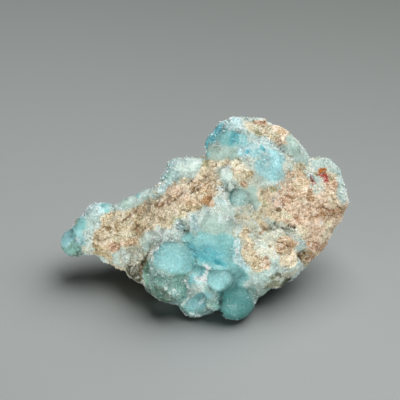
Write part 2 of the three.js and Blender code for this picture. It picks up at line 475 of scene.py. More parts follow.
# ---- Minerals ------------------------------------------------------------------------------------
# Each: its colour on a screen of 0 to 255, how grainy it is, how much white druse it carries, and how
# waxy it is.
MINERALS = {
    "teal": ((134, 183, 182), 0.05, 0.10, 1.0),
    "deep": ((102, 186, 198), 0.15, 0.35, 0.6),
    "milk": ((214, 229, 221), 0.03, 0.25, 0.9),
    "snow": ((250, 255, 253), 0.02, 1.00, 0.1),
    "fern": ((110, 154, 143), 0.15, 0.30, 0.7),
    "blue": ((52, 142, 150), 0.05, 0.10, 0.9),
    "azure": ((94, 170, 177), 0.05, 0.20, 0.9),
    "sea": ((143, 199, 204), 0.02, 0.08, 1.0),
    "sky": ((153, 197, 200), 0.05, 0.25, 1.0),
    "ice": ((180, 211, 213), 0.04, 0.55, 0.8),
    "pale": ((175, 194, 187), 0.06, 0.35, 0.8),
    "frost": ((205, 218, 208), 0.08, 1.00, 0.4),
    "jade": ((125, 165, 146), 0.05, 0.05, 1.0),
    "moss": ((135, 167, 160), 0.12, 0.3, 0.8),
    "celadon": ((165, 186, 177), 0.05, 0.10, 1.0),
    "shell": ((142, 188, 188), 0.02, 0.10, 1.0),
    "pool": ((120, 167, 169), 0.05, 0.20, 0.9),
    # painted shade: these four darker colours are laid where the stone lies in shadow, at its lower rims, in
    # hollows and in a crevice
    "haze": ((99, 134, 129), 0.10, 0.20, 0.8),
    "mire": ((62, 89, 74), 0.15, 0.25, 0.7),
    "slate": ((123, 128, 105), 0.45, 0.30, 0.3),
    "gulf": ((77, 133, 127), 0.05, 0.02, 1.0),
    "lagoon": ((89, 140, 137), 0.04, 0.02, 1.0),
    "glass": ((175, 176, 155), 0.30, 0.40, 0.6),
    "mint": ((214, 214, 193), 0.35, 0.6, 0.5),
    "lilac": ((222, 192, 168), 0.15, 0.60, 0.4),
    "tan": ((208, 193, 163), 1.00, 0.05, 0.0),
    "cream": ((238, 225, 196), 0.90, 0.10, 0.0),
    "sand": ((191, 177, 143), 1.00, 0.02, 0.0),
    "straw": ((209, 202, 175), 0.80, 0.10, 0.1),
    "pink": ((216, 193, 167), 1.00, 0.06, 0.0),
    "rose": ((187, 152, 123), 1.00, 0.02, 0.0),
    "amber": ((206, 182, 149), 0.90, 0.02, 0.0),
    "ochre": ((188, 150, 104), 0.90, 0.00, 0.0),
    "olive": ((178, 174, 140), 0.80, 0.02, 0.1),
    "brown": ((168, 137, 102), 1.00, 0.00, 0.0),
    "umber": ((144, 120, 85), 0.90, 0.00, 0.0),
    "red": ((150, 30, 24), 0.80, 0.00, 0.2),
    "orange": ((182, 112, 40), 0.80, 0.00, 0.1),
    "mauve": ((156, 104, 96), 0.80, 0.05, 0.0),
    # painted shade: the darkest colour, laid in the deepest shadows under the stone and in its hollows
    "dusk": ((62, 66, 45), 0.60, 0.05, 0.2),
}

# Where they lie on the display side: the mineral, the width from the line's middle, in pixels, and the line's
# spots. Each goes over those before it.
# the darker shade colours among them are painted shade, at the lower rims, hollows and crevices
DISPLAY = [
    # wide ground
    ("tan", 16, (108, 238), (130, 228), (155, 212), (180, 197), (205, 184)),
    ("pink", 17, (280, 205), (300, 215), (322, 205), (335, 205)),
    ("pink", 13, (300, 188), (315, 235)),
    ("pink", 10, (330, 190), (335, 212)),
    ("pale", 12, (300, 158), (288, 150)),
    ("mint", 13, (262, 232), (270, 255), (268, 272)),
    ("celadon", 9, (262, 296), (275, 286)),
    ("frost", 13, (225, 196), (240, 208)),
    ("haze", 14, (156, 284), (168, 298), (186, 308)),
    ("sea", 15, (196, 286), (222, 290)),
    ("teal", 12, (190, 252), (206, 268), (236, 276)),
    ("lagoon", 16, (228, 306), (240, 300)),
    ("pale", 12, (258, 276), (280, 268), (290, 262)),
    ("moss", 7, (258, 300), (250, 308)),
    ("pale", 14, (225, 134), (245, 136), (262, 146)),
    ("mint", 10, (245, 218), (262, 218)),
    # knob
    ("mire", 11, (68, 250), (74, 250)),
    ("fern", 10, (70, 240), (72, 246)),
    ("sky", 7, (66, 238), (72, 234)),
    ("teal", 6, (83, 217), (79, 226), (75, 232)),
    ("ice", 7, (87, 213), (96, 208), (103, 209)),
    ("shell", 5, (106, 205), (109, 208)),
    ("pale", 7, (92, 221), (99, 220)),
    ("ice", 5, (81, 240)),
    ("frost", 2.6, (97, 225), (91, 232), (90, 242)),
    ("shell", 2.2, (80, 233), (84, 246)),
    ("glass", 3.4, (84, 249), (91, 254)),
    ("straw", 3, (103, 219), (107, 216)),
    # crust along the arm's top
    ("pale", 7, (116, 208), (124, 203), (133, 198), (143, 194), (152, 192), (160, 188), (166, 179)),
    ("ice", 8, (171, 173), (178, 166), (190, 166), (200, 163)),
    ("celadon", 3.2, (124, 201), (127, 205)),
    ("teal", 2.4, (138, 196)),
    ("mint", 3.2, (156, 192), (163, 185)),
    ("pale", 3.6, (134, 197)),
    ("milk", 4.4, (149, 193)),
    ("ice", 3.4, (163, 190), (169, 186)),
    ("milk", 7, (182, 168), (194, 166)),
    ("milk", 5, (198, 164), (203, 160)),
    ("moss", 2.6, (172, 172), (168, 178)),
    # band of matrix
    ("tan", 3.6, (95, 246), (100, 233), (106, 222), (113, 214), (119, 213)),
    ("sand", 5, (96, 251), (104, 254), (110, 259)),
    ("straw", 4.4, (112, 236), (122, 235), (133, 236)),
    ("cream", 3.8, (150, 231), (160, 227), (170, 227)),
    ("cream", 4, (176, 207), (170, 210)),
    ("straw", 3.4, (120, 216), (128, 222), (134, 226)),
    ("cream", 4, (182, 181), (188, 184)),
    ("sand", 5, (106, 228), (118, 226), (116, 231)),
    ("sand", 5, (140, 216), (138, 230)),
    ("tan", 4.4, (148, 205), (158, 216), (165, 214)),
    ("amber", 5, (196, 183), (207, 186), (213, 192)),
    ("pink", 5, (172, 193), (182, 190), (184, 198)),
    ("cream", 5, (200, 175), (207, 172)),
    ("rose", 3.8, (111, 245), (117, 247)),
    ("amber", 3.4, (132, 242), (136, 242)),
    ("pink", 3, (122, 243)),
    ("pink", 3.6, (167, 202), (172, 198)),
    ("brown", 3, (158, 205), (163, 205)),
    ("amber", 2.6, (139, 211), (144, 209)),
    ("amber", 4, (175, 197), (179, 200)),
    ("umber", 3.4, (193, 190), (197, 188)),
    ("ochre", 5, (205, 200), (211, 201)),
    ("amber", 4, (200, 204), (190, 203)),
    ("brown", 3, (127, 245), (131, 249)),
    ("olive", 3, (172, 222), (180, 216)),
    ("olive", 4.4, (206, 165), (213, 163)),
    ("sand", 4, (184, 211), (200, 207)),
    ("umber", 1.3, (104, 226), (109, 228), (115, 231)),
    ("umber", 1.2, (123, 221), (126, 219)),
    ("umber", 1.5, (129, 217), (133, 214), (136, 211)),
    ("rose", 1.2, (137, 224), (138, 231)),
    ("sand", 1.5, (143, 227), (148, 224)),
    ("tan", 1.6, (151, 219), (158, 221), (166, 222), (171, 218)),
    ("umber", 2, (189, 183), (191, 181)),
    ("brown", 1.5, (203, 176), (208, 177)),
    # underside of the arm and the heel
    ("glass", 8, (127, 258), (139, 253)),
    ("frost", 4, (125, 255), (127, 259)),
    ("celadon", 5, (146, 247), (152, 243)),
    ("frost", 3.4, (143, 243)),
    ("dusk", 9, (134, 272), (138, 281)),
    ("umber", 3, (143, 262), (143, 272)),
    ("dusk", 1.6, (150, 252), (145, 257), (142, 264)),
    # strip of druse
    ("frost", 7, (156, 238), (170, 235), (182, 230), (192, 222), (204, 214), (214, 212)),
    ("pale", 7, (150, 240), (160, 238), (172, 238)),
    ("milk", 5, (152, 236), (162, 234), (174, 232)),
    ("frost", 3, (156, 240), (168, 238)),
    ("moss", 4, (179, 222), (182, 229)),
    ("ice", 3, (178, 222), (181, 228)),
    ("milk", 1.8, (184, 218), (187, 226), (189, 233)),
    ("snow", 2, (188, 216), (190, 221)),
    ("ice", 4, (193, 222), (195, 229)),
    ("pale", 2, (176, 236), (181, 238)),
    # great lobe and below it
    ("shell", 16.5, (167, 260), (180, 259)),
    ("moss", 8, (156, 272), (164, 276)),
    ("frost", 2.6, (152, 253), (153, 259)),
    ("snow", 1.8, (151, 252), (158, 248)),
    ("moss", 6, (150, 262), (149, 276), (152, 290)),
    ("jade", 3.4, (148, 264), (148, 276), (150, 288)),
    ("fern", 12, (160, 287), (172, 291), (178, 283)),
    ("moss", 3, (166, 296), (176, 298)),
    ("mire", 4, (158, 288), (164, 294), (172, 300)),
    ("fern", 6, (178, 288), (190, 293)),
    ("snow", 1.6, (166, 288)),
    ("frost", 1.3, (170, 292)),
    ("snow", 1.8, (174, 290), (175, 293)),
    ("haze", 6, (176, 308), (190, 314)),
    ("mire", 5, (150, 291), (160, 299), (175, 308), (190, 314)),
    ("dusk", 2, (148, 293), (160, 302), (174, 310), (186, 316)),
    # middle of the front
    ("teal", 18, (205, 250), (218, 250)),
    ("celadon", 10, (208, 222), (226, 226)),
    ("celadon", 8, (214, 232), (224, 234)),
    ("teal", 8, (228, 240), (232, 250)),
    ("teal", 5, (206, 240), (226, 242)),
    ("teal", 6, (188, 238), (196, 245), (200, 256), (200, 268)),
    ("azure", 3.4, (191, 244), (196, 256)),
    ("azure", 8, (206, 254), (218, 256)),
    ("teal", 8, (222, 262), (232, 268), (240, 276)),
    ("azure", 5, (214, 258), (223, 265)),
    ("blue", 2.2, (217, 261), (221, 265)),
    ("snow", 3.2, (220, 219), (228, 218), (235, 216)),
    ("milk", 2.6, (199, 222), (202, 214), (204, 210)),
    ("milk", 5, (222, 212), (232, 211)),
    ("ice", 3, (237, 241), (236, 250)),
    ("snow", 1.3, (234, 261), (236, 254), (238, 248)),
    ("snow", 1.6, (241, 264), (245, 267)),
    ("ice", 4, (236, 257), (242, 264), (247, 268)),
    # lower front
    ("sea", 5, (193, 284), (200, 281), (204, 276)),
    ("pale", 6, (192, 292), (204, 288)),
    ("snow", 2.6, (206, 266), (210, 269), (214, 270)),
    ("snow", 3, (208, 270), (206, 275)),
    ("snow", 3.4, (197, 279), (203, 280), (207, 278)),
    ("moss", 3.4, (208, 289), (215, 294)),
    ("shell", 13.8, (220.5, 278.8)),
    ("snow", 1.4, (185, 282), (187, 285)),
    ("haze", 5, (188, 311), (200, 316), (212, 311), (218, 307)),
    ("fern", 12, (197, 306)),
    ("pool", 7, (193, 303), (204, 303)),
    ("pool", 2.2, (197, 295), (206, 293), (211, 295)),
    ("ice", 1.6, (200, 303), (204, 299)),
    ("ice", 1.5, (191, 313), (201, 315), (209, 311)),
    ("pale", 1.3, (183, 304), (189, 298), (196, 293)),
    ("fern", 6.4, (213, 303), (218, 303)),
    ("moss", 2.4, (211, 299), (216, 300)),
    ("lagoon", 18, (236, 301)),
    ("gulf", 2.4, (224, 296), (226, 301), (224, 308)),
    ("lagoon", 7, (221, 311), (232, 317), (245, 315), (252, 305)),
    ("teal", 7, (236, 272), (243, 280)),
    ("pale", 3.4, (246, 285), (252, 281), (257, 275)),
    ("moss", 5, (252, 291), (256, 301)),
    # right of the front
    ("tan", 6, (245, 233), (250, 242), (248, 252), (254, 259), (258, 266)),
    ("cream", 3.4, (241, 236), (244, 230)),
    ("cream", 3.4, (246, 235), (252, 241)),
    ("cream", 3.6, (243, 252), (247, 256)),
    ("sand", 3.6, (255, 264), (258, 266)),
    ("pink", 4.4, (265, 260), (266, 264)),
    ("milk", 2.2, (239, 226), (237, 234)),
    ("frost", 2.6, (253, 236), (260, 244), (267, 247)),
    ("straw", 2.8, (237, 216), (248, 217)),
    ("straw", 5, (256, 214), (261, 218)),
    ("cream", 3.4, (262, 221), (265, 228)),
    ("milk", 3.4, (270, 219), (274, 222)),
    ("cream", 8, (286, 262), (291, 260)),
    ("glass", 4, (280, 277), (294, 272)),
    ("slate", 3.4, (272, 277), (278, 276)),
    ("dusk", 3.6, (262, 300), (275, 290), (290, 279)),
    ("slate", 6, (268, 284), (276, 286)),
    # middle
    ("moss", 9, (240, 198)),
    ("milk", 2.4, (230, 186), (229, 190)),
    ("celadon", 6, (252, 192), (254, 202)),
    ("teal", 1.4, (232, 191), (230, 197), (232, 203)),
    ("mint", 5, (240, 211), (250, 210)),
    ("brown", 2.6, (243, 184), (245, 186)),
    ("straw", 9, (234, 164), (243, 173)),
    ("cream", 5, (232, 160), (238, 170)),
    ("cream", 5, (215, 166), (222, 163)),
    ("milk", 5, (226, 172), (229, 175)),
    ("sand", 2.6, (251, 174)),
    ("snow", 1.4, (222, 170), (232, 166)),
    ("frost", 4, (253, 163), (246, 159)),
    ("olive", 2, (232, 157), (238, 158)),
    # dome
    ("pale", 12, (222, 128), (240, 124)),
    ("ice", 8, (224, 124), (236, 121), (246, 123)),
    ("teal", 9, (225, 136), (229, 140)),
    ("teal", 5, (206, 150), (208, 140)),
    ("deep", 6, (208, 145), (213, 137), (218, 131)),
    ("azure", 5.4, (236, 136), (234, 146), (240, 148)),
    ("shell", 5, (243, 138), (244, 145)),
    ("celadon", 7, (212, 152), (223, 154), (234, 152)),
    ("shell", 3, (208, 154)),
    ("straw", 9, (252, 126), (263, 128), (275, 131), (284, 135)),
    ("rose", 4, (258, 124), (265, 125)),
    ("amber", 6, (278, 128), (287, 132)),
    ("olive", 3, (257, 133), (261, 135)),
    ("pink", 5, (281, 141), (286, 139)),
    ("cream", 3, (265, 132), (270, 136)),
    ("ice", 7, (244, 152), (256, 148), (266, 146)),
    ("frost", 3, (258, 143), (266, 140)),
    ("sky", 4, (257, 152), (254, 154)),
    ("deep", 2.2, (248, 152)),
    ("azure", 2.2, (262, 147), (264, 149)),
    ("sky", 14, (271, 165)),
    ("frost", 2, (268, 165)),
    ("frost", 2.4, (260, 183), (270, 183), (280, 181), (286, 176)),
    ("mint", 4, (286, 168), (288, 158)),
    ("celadon", 6, (291, 140), (295, 147)),
    ("straw", 5, (296, 166), (302, 166)),
    # right end
    ("tan", 6, (262, 193), (270, 194)),
    ("straw", 5, (263, 208), (270, 208)),
    ("olive", 2.6, (272, 190), (275, 190)),
    ("olive", 2.4, (262, 201), (266, 206)),
    ("tan", 6, (270, 213), (279, 213)),
    ("lilac", 5, (276, 200), (279, 203)),
    ("rose", 3, (286, 198), (289, 199)),
    ("pink", 5.4, (289, 175), (293, 174)),
    ("amber", 7, (300, 175), (305, 180)),
    ("tan", 3.4, (296, 184), (301, 187)),
    ("amber", 3.4, (294, 199), (301, 202)),
    ("straw", 3, (283, 213), (289, 217)),
    ("mauve", 1.8, (311, 177), (315, 184)),
    ("brown", 3.4, (309, 190), (308, 197)),
    ("brown", 3, (312, 199)),
    ("mint", 4, (317, 190), (321, 187)),
    ("pale", 6, (316, 164), (328, 161), (337, 170), (341, 184), (344, 197)),
    ("frost", 2.6, (342, 189), (346, 201)),
    ("rose", 3, (331, 178), (334, 185)),
    ("tan", 5, (330, 196), (336, 204)),
    ("brown", 4, (322, 210), (326, 212)),
    ("rose", 5, (331, 213), (344, 209)),
    ("umber", 1.6, (329, 216), (337, 213)),
    ("umber", 1.6, (340, 208), (345, 208)),
    ("brown", 3.4, (312, 217), (322, 218)),
    ("rose", 2.8, (296, 216), (299, 221)),
    ("lilac", 4, (316, 223), (320, 221)),
    ("pink", 4.4, (315, 232), (319, 231)),
    ("rose", 4, (310, 244), (317, 247)),
    ("cream", 5, (301, 230), (304, 234)),
    ("cream", 4.4, (325, 238), (329, 226)),
    ("mint", 6, (271, 234), (283, 231), (296, 234)),
    ("slate", 1.0, (276, 221), (274, 226), (271, 229)),
    ("dusk", 1.0, (288, 226), (295, 228)),
    ("rose", 1.4, (261, 233), (264, 230)),
    ("umber", 1.3, (279, 209)),
    ("umber", 1.3, (293, 190), (297, 192)),
    ("amber", 8, (281, 246), (288, 246)),
    ("brown", 2.6, (279, 247), (292, 246)),
    ("umber", 1.2, (283, 248), (290, 247)),
    ("umber", 1.4, (270, 247)),
    ("brown", 7, (304, 258), (309, 258)),
    ("sand", 1.5, (301, 254), (304, 262)),
    ("frost", 1.5, (307, 256)),
    ("olive", 3, (306, 265), (310, 262)),
    ("sand", 6, (322, 176), (328, 178)),
    ("orange", 2.4, (321, 170), (324, 170)),
    ("red", 3.4, (323, 175), (326, 181)),
    ("umber", 1.0, (324, 172), (322, 174)),
    ("rose", 1.2, (325, 178)),
]

# And where they lie on the other sides: the mineral, the width from the line's middle and the line's spots,
# all in millimetres. The display side's go over these.
OTHER_SIDES = {
    "behind": [
        ("pale", 7, (3, 30), (14, 30)), ("tan", 5, (0, 17), (12, 18), (20, 16)),
        ("pink", 4.5, (20, 20), (24, 14)), ("celadon", 5, (-6, 8), (6, 8), (14, 6)),
        ("pale", 4.5, (-8, 16), (-14, 13)), ("tan", 3, (-12, 8), (-18, 9)),
        ("pale", 3.5, (-20, 12), (-26, 9)), ("teal", 3.4, (6, 28), (8, 26)), ("azure", 2.4, (11, 25)),
        ("milk", 2.6, (15, 31), (12, 33)), ("cream", 2.4, (18, 27), (20, 24)),
        ("frost", 1.4, (2, 24), (5, 22), (9, 22)), ("cream", 2, (2, 17), (5, 18)),
        ("amber", 1.2, (8, 19), (12, 17)), ("rose", 1.4, (17, 17), (19, 14)),
        ("umber", 0.4, (4, 15), (8, 16), (11, 15), (15, 17)), ("brown", 0.5, (21, 18), (24, 16), (25, 12)),
        ("sea", 3.4, (8, 10)), ("teal", 3.2, (0, 8)), ("lagoon", 2.4, (4, 4), (6, 3)),
        ("sea", 2.6, (14, 7)), ("moss", 2.4, (-5, 5)), ("frost", 1.2, (4, 12), (11, 12), (13, 10)),
        ("frost", 2, (-10, 18), (-6, 18)), ("sea", 2.4, (-9, 13)), ("cream", 1.6, (-14, 8), (-17, 10)),
        ("teal", 2.2, (-20, 11)), ("ice", 2, (-23, 13)), ("jade", 2.2, (-27, 7), (-25, 6)),
        ("mint", 2.6, (26, 15), (24, 20)), ("celadon", 2.4, (28, 9), (27, 6)),
    ],
    "right": [
        ("pink", 5, (-2, 14), (4, 12)), ("mint", 3, (6, 18), (0, 20)), ("celadon", 2.4, (7, 12)),
        ("cream", 2, (2, 9), (5, 8)), ("rose", 1.6, (-3, 11), (-1, 9)),
        ("umber", 0.4, (-4, 15), (0, 13), (3, 14)), ("teal", 2, (3, 5)),
    ],
    "left": [
        ("teal", 3, (2, 8)), ("ice", 2, (3, 12), (5, 10)), ("jade", 2, (4, 6)),
    ],
    "above": [
        ("teal", 2.6, (5, 7)), ("ice", 2.6, (12, 8), (15, 6)), ("pale", 3.5, (-12, 5), (-7, 7)),
        ("tan", 2.4, (-3, 8), (1, 10)), ("mint", 2.4, (22, 6), (25, 4)), ("celadon", 2, (27, 1)),
    ],
}

DEPTH = 0.45  # the share of a distance along the line of sight that counts
WARP = 1.2  # how far the minerals' borders wander
WIDE = 1.5  # narrower patches wander less
BORDER = 0.6  # the share of a patch's width over which a grainy one fades
SOFT_BORDER = 0.9  # and a waxy one
FADE = 4.5  # the most that a grainy one's border is, in pixels
EDGED = {"shell": 1.0, "sky": 2.5}  # and that of the lobes with an edge of their own
BREAK = 1.2  # how much more broken the druse's borders are
SPECKS = 0.6  # how much of what lies below shows between the druse's crystals
NOT_NEAR = 9.0


def linear(rgb):
    """A colour of 0 to 255 a channel, as a screen shows it, in linear light."""
    shares = np.array(rgb, float) / 255
    return np.where(shares <= 0.04045, shares / 12.92, ((shares + 0.055) / 1.055) ** 2.4)


def colours_of(names):
    return np.array([linear(MINERALS[name][0]) for name in names])


def flattened(points, share=DEPTH):
    """The points with less depth along the line of sight, so that a patch keeps its width in view."""
    return points - np.multiply.outer(points @ LOOK, LOOK) * (1 - share)


def nearness(points, places, reach):
    """How far each point is from the nearest of the places, as a share of the reach."""
    near = np.full(len(points), NOT_NEAR)
    for place in places:
        near = np.minimum(near, np.linalg.norm(points - place, axis=1) / reach)
    return near


def painted(skin, tree):
    """For each point: its mineral's colour, in linear light, and how grainy, druse-covered and waxy it is.

    The grainy minerals' borders run round whole grains.
    """
    points = skin.points
    whole = (grains(points, 1.3, 71)[2] - 0.5) * 0.5 + (grains(points, 0.6, 81)[2] - 0.5) * 0.25
    table = {name: np.array([*linear(rgb), *kind]) for name, (rgb, *kind) in MINERALS.items()}
    # crust and matrix in wide, uneven turns, under all the rest
    ground = smooth_step(0.5 + 1.6 * rough_noise(points, 9.0, 11))[:, None]
    laid = table["pale"] * ground + table["tan"] * (1 - ground)
    second = smooth_step(1.8 * rough_noise(points, 6.0, 21) - 0.2)[:, None]
    laid = laid + (table["celadon"] * ground + table["pink"] * (1 - ground) - laid) * second
    wander = wandering(points, 2.4, 31, 3) * WARP
    specks = smooth_step(0.5 + 1.3 * noise(points, 0.8, 61))

    def cover(laid, mineral, near, widest):
        """Lays one mineral where near is below one, with a border of at most the widest share."""
        _, _, _, _, druse, wax = table[mineral]
        border = min(BORDER + (SOFT_BORDER - BORDER) * wax, widest * (1 + wax))
        near = near + whole * (1 - 0.75 * wax) * (1 + BREAK * druse)
        share = smooth_step((1 + border / 2 - near) / border) * (1 - SPECKS * max(0, druse * 2 - 1) * specks)
        return laid + (table[mineral] - laid) * share[:, None]

    for side, strokes in OTHER_SIDES.items():
        for mineral, reach, *line in strokes:
            places = [met(tree, side, a, b) for a, b in along(line, max(0.3, reach / 2))]
            warped = points + wander * min(1.0, reach / WIDE)
            near = nearness(warped, [place for place in places if place is not None], reach)
            laid = cover(laid, mineral, near, FADE * PIXEL / reach)
    flat, flat_wander = flattened(points), flattened(wander)
    for mineral, width, *line in DISPLAY:
        reach = width * PIXEL
        places = [hit(tree, u, v) for u, v in along(line, max(1.0, width / 2))]
        warped = flat + flat_wander * min(1.0, reach / WIDE)
        near = nearness(warped, [flattened(place) for place in places if place is not None], reach)
        laid = cover(laid, mineral, near, EDGED.get(mineral, FADE) / width)
    return laid[:, :3], laid[:, 3], laid[:, 4], laid[:, 5]


# ---- Balls and lobes -----------------------------------------------------------------------------
# Balls that stand in the hollows of the display side: the middle and the radius, in pixels, how far before
# the target the middle lies, and how far the front stands out of it, both in millimetres.
BALLS = [
    (199, 272, 7.5, 2.9, 1.8), (214, 293, 8, 3.0, 1.6), (207, 287, 7, 2.8, 1.5), (203, 280, 8.5, 3.3, 1.9),
    (208, 272, 7, 3.9, 2.0), (215.5, 302.5, 8.8, 2.2, 1.9), (220, 278.3, 12.4, 4.6, 2.5),
    (233, 187, 7, 3.6, 1.6), (240, 198, 9.4, 5.2, 2.2), (181.5, 226, 9.5, 2.9, 1.6),
]
BALL_REACH = 4.0  # how far behind a ball's middle the surface still belongs to it
BALL_RIM = 0.06  # the share of its radius over which its front meets the surface

# Round lobes on the display side: the middle and the radius, in pixels, and how far it swells, in
# millimetres.
LOBES = [
    # knob
    (70, 246, 11, 0.3), (78, 233, 9, 0.4), (86, 222, 9, 0.4), (96, 214, 9, 0.4), (106, 208, 6, 0.3),
    (85, 245, 6, 0.3), (92, 235, 6, 0.25),
    # crust along the arm's top
    (117, 206, 5, 0.35), (124, 202, 5, 0.35), (132, 199, 5.5, 0.35), (141, 196, 5.5, 0.35),
    (150, 193, 6, 0.35), (159, 188, 6, 0.35), (166, 180, 6, 0.35), (172, 172, 7, 0.4), (180, 165, 8, 0.4),
    (190, 164, 8, 0.4), (200, 163, 6, 0.3),
    # broken lumps in the matrix
    (148, 205, 5, 0.5), (170, 199, 4, 0.4),
    # underside of the arm and the heel
    (118, 264, 5, 0.3), (126, 258, 7, 0.4), (136, 255, 7, 0.4), (146, 249, 6, 0.35), (134, 272, 8, 0.4),
    (141, 282, 6, 0.3),
    # strip of druse
    (157, 238, 6, 0.6), (166, 235, 7, 0.7), (177, 233, 7, 0.6), (192, 226, 5, 0.3), (198, 236, 6, 0.25),
    (188, 247, 6, 0.3),
    # front
    (158, 283, 8, 0.35), (150, 275, 7, 0.3), (170, 297, 8, 0.35), (183, 305, 8, 0.35), (183, 290, 8, 0.3),
    (168, 260, 16.5, 0.55), (210, 224, 8, 0.3), (237, 262, 7, 0.3), (246, 270, 6, 0.3), (243, 283, 8, 0.3),
    (238, 302, 17, 0.35), (199, 303, 12, 0.35),
    # right flank
    (262, 262, 7, 0.3), (270, 272, 7, 0.3), (280, 268, 7, 0.35), (291, 262, 8, 0.35), (268, 284, 7, 0.3),
    (255, 288, 7, 0.3), (258, 298, 6, 0.3), (279, 281, 5, 0.25), (273, 226, 4, 0.5), (291, 228, 4, 0.4),
    (276, 277, 5, 0.6),
    # middle
    (254, 196, 8, 0.3), (228, 176, 6, 0.15), (226, 200, 7, 0.3), (243, 170, 8, 0.3), (232, 163, 6, 0.3),
    # dome
    (216, 138, 11, 0.4), (230, 128, 9, 0.3), (232, 143, 8, 0.3), (246, 132, 8, 0.3), (252, 152, 7, 0.35),
    (262, 146, 5, 0.25), (284, 158, 7, 0.3), (292, 148, 8, 0.3), (218, 153, 7, 0.3), (258, 127, 8, 0.3),
    (272, 128, 8, 0.3), (283, 137, 7, 0.3), (271, 166, 13.5, 0.3), (268, 162, 6, 0.2), (276, 171, 6, 0.2),
    # right end
    (318, 163, 6, 0.35), (328, 163, 6, 0.35), (338, 172, 6, 0.35), (342, 186, 6, 0.3),
]
# The same on the other sides, all in millimetres.
OTHER_LOBES = {
    "behind": [
        (6, 28, 3.2, 0.5), (11, 25, 2.6, 0.5), (15, 31, 3.0, 0.4), (2, 26, 2.2, 0.4), (18, 27, 2.6, 0.4),
        (9, 32, 2.2, 0.3), (8, 10, 3.4, 0.6), (0, 8, 3.2, 0.6), (4, 4, 2.8, 0.5), (14, 7, 3.0, 0.5),
        (-5, 5, 2.6, 0.4), (11, 14, 2.2, 0.4), (-3, 12, 2.4, 0.4), (-9, 13, 2.6, 0.5), (-10, 18, 2.2, 0.3),
        (-12, 7, 2.2, 0.4), (-20, 11, 2.2, 0.4), (-23, 13, 2.0, 0.35), (-26, 8, 2.4, 0.4),
        (-17, 8, 1.8, 0.3), (26, 15, 2.4, 0.4), (28, 9, 2.4, 0.4), (23, 20, 2.4, 0.4),
    ],
    "right": [
        (6, 18, 2.6, 0.4), (0, 20, 2.4, 0.4), (3, 5, 2.4, 0.4), (7, 12, 2.4, 0.4),
    ],
    "left": [
        (2, 8, 3.0, 0.4), (4, 12, 2.2, 0.35),
    ],
    "above": [
        (5, 7, 2.6, 0.4), (12, 8, 2.6, 0.4), (-12, 5, 2.4, 0.35), (-7, 7, 2.4, 0.35), (22, 6, 2.4, 0.35),
        (27, 1, 2.0, 0.3),
    ],
}
GREAT = (168, 260)  # the long lobe that stands alone in a groove
GREAT_END = (179, 259)  # its other end
GREAT_DEPTH = 0.25  # the share of a distance along the line of sight that counts for it
GROOVE = 0.06  # how deep the groove is
GROOVE_WIDTH = 0.4
LOBE_WARP = 0.7  # how far the lobes' outlines wander


def with_balls(skin):
    """The skin's points with the balls grown out of them, towards the eye."""
    points = skin.points
    moved = np.zeros(len(points))
    for u, v, radius, near, front in BALLS:
        start, way = sight(u, v)
        aside = points - (start + way * (DISTANCE - near) / (way @ LOOK))
        depth = aside @ LOOK
        far = np.linalg.norm(flattened(aside, 0), axis=1) / (radius * PIXEL)
        out = np.clip(depth + front * np.sqrt(np.clip(1 - far ** 2, 0, 1)), 0, None)
        out *= smooth_step((1 - far) / BALL_RIM) * (depth < BALL_REACH)
        points = points - np.outer(out, LOOK)
        moved = np.maximum(moved, out)
    loose = skin.spread((moved > 0).astype(float), 3)[:, None]
    return points + (skin.spread(points, 4) - points) * loose


def swollen(points, tree):
    """How far each point is moved out by the lobes, and how near to the great lobe's groove it is."""
    height = np.zeros(len(points))
    groove = np.zeros(len(points))
    wander = wandering(points, 3.0, 401, 2) * LOBE_WARP

    def grown(height, far, swell, power):
        """The height with one more dome on it, which counts for less where it lies on another."""
        dome = swell * np.clip(1 - far ** 2, 0, 1) ** power
        return np.maximum(height, dome) + 0.25 * np.minimum(height, dome)

    for u, v, radius, swell in LOBES:
        place = hit(tree, u, v)
        if place is None:
            continue
        reach = radius * PIXEL
        if (u, v) != GREAT:
            height = grown(height, np.linalg.norm(points + wander - place, axis=1) / reach, swell, 0.8)
            continue
        aside = flattened(points + wander * 0.25 - place, GREAT_DEPTH)
        line = flattened(hit(tree, *GREAT_END) - place, GREAT_DEPTH)
        aside -= np.clip(aside @ line / (line @ line), 0, 1)[:, None] * line
        far = np.linalg.norm(aside, axis=1) / reach
        inside = smooth_step((1 - far) * reach / GROOVE_WIDTH + 0.5)
        height += (swell * np.sqrt(np.clip(1 - far ** 2, 0, 1)) - height) * inside
        groove = np.exp(-(((far - 1) * reach / GROOVE_WIDTH) ** 2))
    for side, lobes in OTHER_LOBES.items():
        for a, b, reach, swell in lobes:
            place = met(tree, side, a, b)
            if place is not None:
                height = grown(height, np.linalg.norm(points + wander - place, axis=1) / reach, swell, 0.6)
    return height - GROOVE * groove, groove


# ---- Making the stone ----------------------------------------------------------------------------
FACE = 0.28  # the fine faces' size
EVEN = 6  # the rounds that even out the remade surface
CREASE = 40  # and those that a crease's depth is measured against
DEEPEST = 1.5  # the most of it that counts
FILL = 0.55  # how much of a crease's depth is grown over
FOOT_FADE = 2.0  # up to this height, less of it
# Each: the size of the cells, how high they swell, how far they differ in height, and how steep their
# facets are.
BLOCKS = [(2.8, 0.16, 0.26, 0.22), (1.3, 0.04, 0.14, 0.35), (0.65, 0.0, 0.08, 0.3)]  # broken matrix
BEADS = [(2.2, 0.30, 0.2, 0.0), (1.1, 0.08, 0.14, 0.25), (0.55, 0.0, 0.07, 0.2)]  # sugary crust
DIMPLES = [(1.6, 0.02, 0.03, 0.0), (0.6, 0.0, 0.02, 0.05)]  # smooth lobes
MIDDLE_SIZE = 1  # which of the sizes gives each grain its colour
FLAT_FOOT = 0.8  # up to this height the relief fades out

